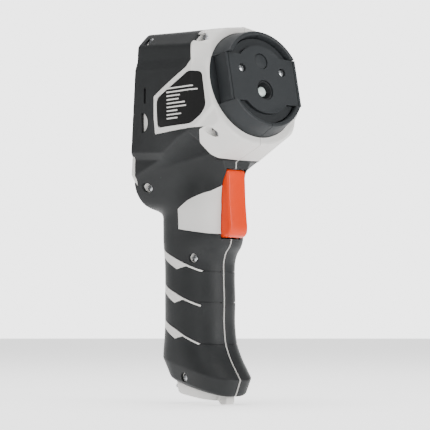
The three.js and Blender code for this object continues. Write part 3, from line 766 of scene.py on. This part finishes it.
def left_side_cuts(shell, skin):
    """The screw bosses and recesses, card slot and finger recess that only the left side has."""
    inner = mirror(UNDER)
    for x, y, z in SHELL_SCREWS:
        boss = side_rod(SHELL_SCREW_BOSS, (x - 1.6, -SEAM), (y, z))
        keep(boss, inner)
        join(shell, boss)
        drop(boss)
    recesses = [side_rod(SHELL_HEAD_R + 0.5, (-FAR, x), (y, z)) for x, y, z in SHELL_SCREWS]
    bores = [side_rod(1.5, (x - SHELL_SCREW_SEAT, 1), (y, z)) for x, y, z in SHELL_SCREWS]
    slot = side_prism(slot_outline(), (-FAR, -20))
    trigger_room = block((-TRIGGER_HALF - 0.4, TRIGGER_HALF + 0.4), (-50, -17), TRIGGER_ROOM)
    cut(shell, *recesses, *bores, slot, trigger_room)
    finger_recess = side_prism(finger_recess_outline(), (-FAR, -20))
    cut(skin, *recesses, slot, finger_recess)
    drop(inner, finger_recess, trigger_room, *recesses, *bores, slot)


RIGHT_SHELL = make_right_shell()
RIGHT_SKIN = make_right_overmould()
RIGHT_LABEL = make_right_label()
LEFT_SHELL = mirror(RIGHT_SHELL, "left_shell_visual")
LEFT_SKIN = mirror(RIGHT_SKIN, "left_overmould_visual")
LEFT_LABEL = mirror(RIGHT_LABEL, "left_label_visual")
left_side_cuts(LEFT_SHELL, LEFT_SKIN)


# ------------------------------------------------------------------ front ring and face
def make_ring(side, name):
    ring = turned([
        (RIM_INNER_R, -0.9), (RIM_INNER_R + 0.3, -0.3), (RIM_INNER_R + 0.9, 0), (28.3, 0),
        (28.9, -0.25), (RING_TOP_R, -0.9), (RING_BASE_R, -COLLAR_SETBACK),
        (RING_BASE_R, -RING_REAR), (24, -RING_REAR), (24, -9.6), (RIM_INNER_R - 0.4, -9.6),
    ], place=LENS, name=name)
    band = block((-40, 40), (-BAND_HALF - GAP, BAND_HALF + GAP), (-COLLAR_SETBACK, 2), LENS)
    half = block((SEAM, 80) if side > 0 else (-80, -SEAM), (-100, 60), (100, 260))
    cut(ring, band)
    keep(ring, half)
    drop(band, half)
    return soften(ring, 0.3)


def make_face():
    face = block((-BAND_FLAT, BAND_FLAT), (-BAND_HALF, BAND_HALF), (-11.6, -BAND_SETBACK), LENS,
                 "face_plate_visual")
    limit = rod(RING_BASE_R - 1, (-20, 0), place=LENS, sides=TURN)
    keep(face, limit)
    boss = rod(DISC_R, (-9.3, -BAND_SETBACK), place=LENS, sides=TURN)
    floor = rod(RIM_INNER_R - 0.9, (-9.2, -FLOOR_SETBACK), place=LENS, sides=TURN)
    join(face, boss, floor)
    soften(face, 0.7, 4)
    holes = [
        rod(LENS_HOLE_R, (-20, 0), (0, LENS_U), LENS, 96),
        rod(WINDOW_R, (-20, 0), (0, WINDOW_U), LENS, 96),
    ]
    for side in (-1, 1):
        at = (side * FACE_SCREW[0], FACE_SCREW[1])
        holes += [rod(2.5, (-4, 0), at, LENS), rod(1.5, (-20, 0), at, LENS)]
        edge = side * (BAND_FLAT - 2)
        holes.append(block((edge - 0.2, edge + 0.2), (-BAND_HALF - 1, BAND_HALF + 1),
                           (-BAND_SETBACK - 0.4, 0), LENS))
    cut(face, *holes)
    drop(limit, boss, floor, *holes)
    return face


def make_screw(name, radius, top, height, tail, centre, place):
    """A pan head with a cross recess and a plain shank; top is where the head's crown lies."""
    rise = radius * 0.22
    screw = turned([
        (0, top), (radius * 0.6, top - rise * 0.25), (radius * 0.92, top - rise),
        (radius, top - rise * 1.8), (radius, top - height), (radius * 0.5, top - height),
        (radius * 0.5, tail), (0, tail),
    ], centre, place, 64, name)
    arm, width = radius * 0.66, radius * 0.15
    x, y = centre
    bars = [
        block((x - arm, x + arm), (y - width, y + width), (top - 0.9, top + 1), place),
        block((x - width, x + width), (y - arm, y + arm), (top - 0.9, top + 1), place),
    ]
    cut(screw, *bars)
    drop(*bars)
    return screw


LEFTWARD = basis((0, -1, 0), (0, 0, 1), (-1, 0, 0), (0, 0, 0))   # z grows to the left, -X


def make_lens_parts():
    window = rod(WINDOW_R - GAP, (-3.7, -2.2), (0, WINDOW_U), LENS, 96, "camera_window_visual")
    soften(window, 0.25, 3)
    barrel = turned([
        (LENS_HOLE_R - GAP, -2.6), (LENS_HOLE_R - GAP, -25), (7.6, -25), (7.6, -27), (3.2, -27),
        (3.2, -7.4), (3.5, -7.1), (4.3, -6.2), (4.6, -5.0), (4.9, -4.6), (5.1, -2.8), (5.3, -2.6),
    ], (0, LENS_U), LENS, 128, "lens_barrel_visual")
    dome = [(2.9 * math.sin(t), -5.0 + 0.7 * math.cos(t)) for t in np.linspace(0, math.pi / 2, 9)]
    lens = turned([(0, -8.8), (2.9, -8.8), *dome[::-1]], (0, LENS_U), LENS, 96, "ir_lens_visual")
    return window, barrel, lens


# ------------------------------------------------------------------ display and keys
KEYS = {
    "power": (-21, KEY_ROW, 5.2, 5.2), "up": (0, KEY_ROW + 9, 6, 3),
    "select": (0, KEY_ROW + 0.6, 5.4, 3.4), "down": (0, KEY_ROW - 7.8, 6, 3),
    "gallery": (21, KEY_ROW, 5.2, 5.2),
}
KEY_CORNER = 1.8


def key_outline(key, grow):
    x, v, half_x, half_v = key
    half_x, half_v = half_x + grow, half_v + grow
    corners = [(x - half_x, v - half_v), (x + half_x, v - half_v),
               (x + half_x, v + half_v), (x - half_x, v + half_v)]
    return rounded(corners, KEY_CORNER + grow)


def screen_outline(grow, corner=1.2):
    half, low, high = SCREEN["half"] + grow, SCREEN["low"] - grow, SCREEN["high"] + grow
    return rounded([(-half, low), (half, low), (half, high), (-half, high)], corner)


def make_display_frame():
    shape = prism(mirrored(FRAME_OUTLINE), 0, FRAME_DEPTH, DISPLAY, "display_frame_visual")
    soften(shape, 0.7, 4, 30)
    tools = [
        prism(screen_outline(1.4), -1, 1.4, DISPLAY),
        prism(screen_outline(-0.8), -1, 5, DISPLAY),
    ]
    tools += [prism(key_outline(key, GAP), -2, 4, DISPLAY) for key in KEYS.values()]
    cut(shape, *tools)
    drop(*tools)
    return soften(shape, 0.15, 2, 60)


def make_key(name):
    key = KEYS[name]
    cap = prism(key_outline(key, 0), -0.95, 4.2, DISPLAY, f"key_{name}_visual")
    soften(cap, 0.5, 4)
    flange = prism(key_outline(key, 0.8), 2.5, 3.3, DISPLAY)
    join(cap, flange)
    drop(flange)
    return cap


# ------------------------------------------------------------------ trigger and base door
def make_trigger():
    outline = [
        (-34.2, 138.1), (-34.9, 120), (-36.6, 104), (-36.2, 100.2), (-33.2, 98.0), (-29.6, 97.9),
        (-23.6, 99), (-21.9, 101), (-20.9, 137), (-22, 138.2),
    ]
    trigger = side_prism(rounded(outline, 2.4), (-TRIGGER_HALF, TRIGGER_HALF), "trigger_visual")
    soften(trigger, 2.2, 8, 40)
    bore = side_rod(1.6, (-10, 10), TRIGGER_PIVOT)
    cut(trigger, bore)
    drop(bore)
    return trigger


def squircle(half, front, back, power, level, tilt, sides=96):
    """A level section with rounded sides, tilted forward."""
    points = []
    for i in range(sides):
        angle = 2 * math.pi * i / sides
        across, along = math.cos(angle), math.sin(angle)
        reach = front if along < 0 else back
        x = half * math.copysign(abs(across) ** (2 / power), across)
        y = reach * math.copysign(abs(along) ** (2 / power), along)
        points.append((x, y, level + tilt * y))
    return points


def loft(rings, name):
    count = len(rings[0])
    faces = [tuple(range(count))[::-1], tuple(range(count * (len(rings) - 1), count * len(rings)))]
    for k in range(len(rings) - 1):
        for i in range(count):
            n = (i + 1) % count
            faces.append((k * count + i, k * count + n, (k + 1) * count + n, (k + 1) * count + i))
    return outward(make(name, [p for ring in rings for p in ring], faces))


HINGE_PIN = (7.6, 10.6)


def make_door():
    door = loft([
        squircle(11.6, 21, 7, 3, 5.4, 0.15), squircle(12.4, 22.2, 8.2, 3, 5.75, 0.16),
        squircle(13, 23, 9, 3, 6.6, 0.17), squircle(13.8, 24, 10, 3, 12.1, 0.25),
    ], "base_door_visual")
    lug = side_prism(rounded([(-20, 3.2), (-20, 6.8), (-28.4, 4.8), (-28.4, 1.4), (-27, 0.05),
                              (-23, 0.05)], 0.8), (-3, 3))
    join(door, lug)
    tools = [side_rod(5, (-16, -4), (-25.5, 2.6)), side_rod(5, (4, 16), (-25.5, 2.6)),
             side_rod(1.3, (-12, 12), HINGE_PIN)]
    for low, high in ((7.9, 11.5), (-11.5, -7.9)):
        tools.append(block((low, high), (2, 13), (0, 16)))
    cut(door, *tools)
    drop(lug, *tools)
    return soften(door, 0.25, 2, 40)


# ------------------------------------------------------------------ materials
def node_material(name, color, roughness, metallic=0.0, specular=0.5, coat=0.0):
    """A Principled material; returns it with its node tree and shader."""
    material = bpy.data.materials.new(name)
    material.use_nodes = True
    tree = material.node_tree
    shader = tree.nodes["Principled BSDF"]
    shader.inputs["Base Color"].default_value = (*color, 1)
    shader.inputs["Roughness"].default_value = roughness
    shader.inputs["Metallic"].default_value = metallic
    shader.inputs["Specular IOR Level"].default_value = specular
    shader.inputs["Coat Weight"].default_value = coat
    shader.inputs["Coat Roughness"].default_value = 0.12
    return material, tree, shader


def noise(tree, scale, detail=3.0, stretch=(1, 1, 1)):
    """Noise in object space; scale is in features per metre."""
    place = tree.nodes.new("ShaderNodeTexCoord")
    mapping = tree.nodes.new("ShaderNodeMapping")
    mapping.inputs["Scale"].default_value = stretch
    texture = tree.nodes.new("ShaderNodeTexNoise")
    texture.inputs["Scale"].default_value = scale
    texture.inputs["Detail"].default_value = detail
    tree.links.new(place.outputs["Object"], mapping.inputs["Vector"])
    tree.links.new(mapping.outputs["Vector"], texture.inputs["Vector"])
    return texture


def ramp_between(tree, source, low, high, start=0.35, end=0.65):
    """Maps noise to a value between low and high."""
    remap = tree.nodes.new("ShaderNodeMapRange")
    remap.inputs["From Min"].default_value = start
    remap.inputs["From Max"].default_value = end
    remap.inputs["To Min"].default_value = low
    remap.inputs["To Max"].default_value = high
    tree.links.new(source, remap.inputs["Value"])
    return remap.outputs["Result"]


def moulded(name, color, roughness, grain=2600, relief=0.02, spread=0.06, mottle=0.05, **kind):
    """A moulded plastic or rubber: fine grain, faint mottle and uneven gloss."""
    material, tree, shader = node_material(name, color, roughness, **kind)
    fine = noise(tree, grain, 2.0)
    broad = noise(tree, 60, 4.0)
    mix = tree.nodes.new("ShaderNodeMix")
    mix.data_type = "RGBA"
    mix.inputs["A"].default_value = (*[c * (1 - mottle) for c in color], 1)
    mix.inputs["B"].default_value = (*[min(1, c * (1 + mottle)) for c in color], 1)
    tree.links.new(ramp_between(tree, broad.outputs["Fac"], 0, 1), mix.inputs["Factor"])
    tree.links.new(mix.outputs["Result"], shader.inputs["Base Color"])
    rough = ramp_between(tree, fine.outputs["Fac"], roughness - spread, roughness + spread)
    tree.links.new(rough, shader.inputs["Roughness"])
    bump = tree.nodes.new("ShaderNodeBump")
    bump.inputs["Strength"].default_value = relief * 10
    bump.inputs["Distance"].default_value = 0.00005
    tree.links.new(fine.outputs["Fac"], bump.inputs["Height"])
    tree.links.new(bump.outputs["Normal"], shader.inputs["Normal"])
    return material


def brushed(name, color, roughness, stretch=(1, 1, 12)):
    """Metal with faint drawn lines."""
    material, tree, shader = node_material(name, color, roughness, metallic=1.0)
    lines = noise(tree, 1800, 3.0, stretch)
    rough = ramp_between(tree, lines.outputs["Fac"], roughness - 0.08, roughness + 0.1)
    tree.links.new(rough, shader.inputs["Roughness"])
    bump = tree.nodes.new("ShaderNodeBump")
    bump.inputs["Strength"].default_value = 0.15
    bump.inputs["Distance"].default_value = 0.00003
    tree.links.new(lines.outputs["Fac"], bump.inputs["Height"])
    tree.links.new(bump.outputs["Normal"], shader.inputs["Normal"])
    return material


MATERIALS = {
    "light_shell": moulded("light_grey_plastic", (0.56, 0.55, 0.53), 0.45, relief=0.015,
                           mottle=0.015, specular=0.3),
    "overmould": moulded("charcoal_rubber", (0.0115, 0.0125, 0.013), 0.48, relief=0.05, mottle=0.1,
                         specular=0.22),
    "label_black": moulded("label_film", (0.008, 0.008, 0.008), 0.45, relief=0.01, mottle=0.05,
                           specular=0.12),
    "slate_plastic": moulded("slate_plastic", (0.016, 0.018, 0.0195), 0.5, relief=0.03,
                             specular=0.2),
    "steel": brushed("zinc_steel", (0.42, 0.43, 0.44), 0.32),
    "dark_glass": moulded("smoked_glass", (0.012, 0.013, 0.015), 0.08, spread=0.02, relief=0.0,
                          coat=0.5),
    "black_plastic": moulded("black_plastic", (0.01, 0.011, 0.012), 0.45, specular=0.25),
    "germanium_lens": moulded("coated_lens", (0.52, 0.6, 0.57), 0.16, spread=0.04, relief=0.0,
                              coat=0.6),
    "aluminium_can": brushed("drawn_can", (0.7, 0.7, 0.7), 0.35),
    "circuit_board": moulded("solder_mask", (0.01, 0.1, 0.045), 0.35, grain=1200, mottle=0.2),
    "lcd_panel": moulded("lcd_panel", (0.03, 0.035, 0.04), 0.2),
    "gasket_rubber": moulded("foam_gasket", (0.015, 0.015, 0.015), 0.9, grain=1500, relief=0.1),
    "key_rubber": moulded("key_silicone", (0.016, 0.017, 0.018), 0.6, relief=0.04, specular=0.2),
    "brass": brushed("plated_brass", (0.62, 0.48, 0.24), 0.3),
    "trigger_orange": moulded("orange_gloss", (0.6, 0.033, 0.0), 0.24, spread=0.04,
                              relief=0.01, mottle=0.02, coat=0.1, specular=0.15),
    "cell_wrap": moulded("shrink_wrap", (0.04, 0.14, 0.38), 0.3, relief=0.01),
}


def finish_piece(shape, slot, body, *nodes, angle=32):
    """Shades a piece, gives it its material and hangs it on the frame."""
    smooth(shape, angle)
    shape.data.materials.clear()
    shape.data.materials.append(MATERIALS[slot])
    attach(shape, body)
    if nodes:
        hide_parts(*nodes)
    return shape


# ------------------------------------------------------------------ assembly
finish_piece(RIGHT_SHELL, "light_shell", "housing", "right_shell")
finish_piece(LEFT_SHELL, "light_shell", "housing", "left_shell")
finish_piece(RIGHT_SKIN, "overmould", "housing", "right_overmould")
finish_piece(LEFT_SKIN, "overmould", "housing", "left_overmould")
finish_piece(RIGHT_LABEL, "label_black", "housing", "right_label_plate")
finish_piece(LEFT_LABEL, "label_black", "housing", "left_label_plate")
finish_piece(make_label_bars(), "light_shell", "housing")
drop(OUTER, UNDER)

for label, sign in (("left", -1), ("right", 1)):
    ring = make_ring(sign, f"front_ring_{label}_visual")
    finish_piece(ring, "slate_plastic", "housing", f"front_ring_{label}")
    screw = make_screw(f"face_screw_{label}_visual", 2.1, -2.3, 1.4, -12.4,
                       (sign * FACE_SCREW[0], FACE_SCREW[1]), LENS)
    finish_piece(screw, "steel", "housing", f"face_screw_{label}")
for i, (x, y, z) in enumerate(SHELL_SCREWS):
    screw = make_screw(f"shell_screw_{i + 1}_visual", SHELL_HEAD_R, -x + 1.2, 1.1, -8, (-y, z),
                       LEFTWARD)
    finish_piece(screw, "steel", "housing", f"shell_screw_{i + 1}")
finish_piece(make_face(), "slate_plastic", "housing", "face_plate")
window, barrel, lens = make_lens_parts()
finish_piece(window, "slate_plastic", "housing", "camera_window")
finish_piece(barrel, "black_plastic", "housing", "lens_barrel")
finish_piece(lens, "germanium_lens", "housing", "ir_lens")
finish_piece(make_display_frame(), "light_shell", "housing", "display_frame")
glass = prism(screen_outline(1.1), 0.2, 1.1, DISPLAY, "display_window_visual")
finish_piece(soften(glass, 0.2, 3), "dark_glass", "housing", "display_window")
for name in KEYS:
    finish_piece(make_key(name), "key_rubber", f"key_{name}", f"key_{name}")
finish_piece(make_trigger(), "trigger_orange", "trigger", "trigger")
finish_piece(make_door(), "light_shell", "base_door", "base_door")

spring = copy(frame["nodes"]["trigger_spring"], "trigger_spring_visual")
finish_piece(spring, "steel", "housing", "trigger_spring")
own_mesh(spring)

SLOT_OF = {row["node"]: row["material_slot"] for row in frame["record"]["subparts"]}
for node, shape in frame["nodes"].items():
    shape.data.materials.clear()
    shape.data.materials.append(MATERIALS[SLOT_OF[node]])


# ------------------------------------------------------------------ stage, light and camera
FLOOR_GLOW = 1.1                 # a lit table, so that the floor stays pale


def make_floor():
    edit = bmesh.new()
    bmesh.ops.create_circle(edit, cap_ends=True, segments=128, radius=12)
    mesh = bpy.data.meshes.new("floor")
    edit.to_mesh(mesh)
    edit.free()
    floor = bpy.data.objects.new("floor", mesh)
    floor.location.z = -GRIP_HEIGHT * 0.001 - 0.0002
    SCENE.collection.objects.link(floor)
    material, _, shader = node_material("pale_floor", (0.9, 0.9, 0.9), 0.9, specular=0.1)
    shader.inputs["Emission Color"].default_value = (1, 1, 1, 1)
    shader.inputs["Emission Strength"].default_value = FLOOR_GLOW
    mesh.materials.append(material)


BACKDROP_DIRECTION = (0.64, 0.76, 0.07)   # a bright wall behind the object
BACKDROP_LIGHT = 3.6
ROOM_LIGHT = 0.45


def make_world():
    world = bpy.data.worlds.new("studio")
    world.use_nodes = True
    background = world.node_tree.nodes["Background"]
    background.inputs["Color"].default_value = (1, 1, 1, 1)
    tree = world.node_tree
    place = tree.nodes.new("ShaderNodeTexCoord")
    toward = tree.nodes.new("ShaderNodeVectorMath")
    toward.operation = "DOT_PRODUCT"
    toward.inputs[1].default_value = BACKDROP_DIRECTION
    tree.links.new(place.outputs["Generated"], toward.inputs[0])
    strength = ramp_between(tree, toward.outputs["Value"], ROOM_LIGHT, BACKDROP_LIGHT, 0.7, 0.93)
    tree.links.new(strength, background.inputs["Strength"])
    SCENE.world = world


def make_light(name, place, size, power, target=(0, -0.02, 0.05)):
    light = bpy.data.lights.new(name, "AREA")
    light.energy = power
    light.size = size
    lamp = bpy.data.objects.new(name, light)
    lamp.location = place
    direction = Vector(target) - Vector(place)
    lamp.rotation_mode = "QUATERNION"
    lamp.rotation_quaternion = direction.to_track_quat("-Z", "Y")
    SCENE.collection.objects.link(lamp)


CAMERA_PLACE = Vector((-0.6389, -0.7765, -0.0201))
CAMERA_AZIMUTH = -39.97
CAMERA_ELEVATION = -4.05
FOCAL_IN_WIDTHS = 1668 / 430


def make_camera():
    azimuth, elevation = math.radians(CAMERA_AZIMUTH), math.radians(CAMERA_ELEVATION)
    back = Vector((
        math.sin(azimuth) * math.cos(elevation), -math.cos(azimuth) * math.cos(elevation),
        math.sin(elevation),
    ))
    data = bpy.data.cameras.new("camera")
    data.sensor_width = 36
    data.lens = 36 * FOCAL_IN_WIDTHS
    camera = bpy.data.objects.new("camera", data)
    camera.location = CAMERA_PLACE
    camera.rotation_mode = "QUATERNION"
    camera.rotation_quaternion = (-back).to_track_quat("-Z", "Y")
    SCENE.collection.objects.link(camera)
    SCENE.camera = camera


make_floor()
make_world()
make_light("top", (-0.1, -0.1, 1.5), 1.2, 30)
make_light("front", (0.35, -1.3, 0.25), 0.8, 16)
make_light("side", (-1.3, -0.5, 0.6), 0.5, 5)
make_camera()
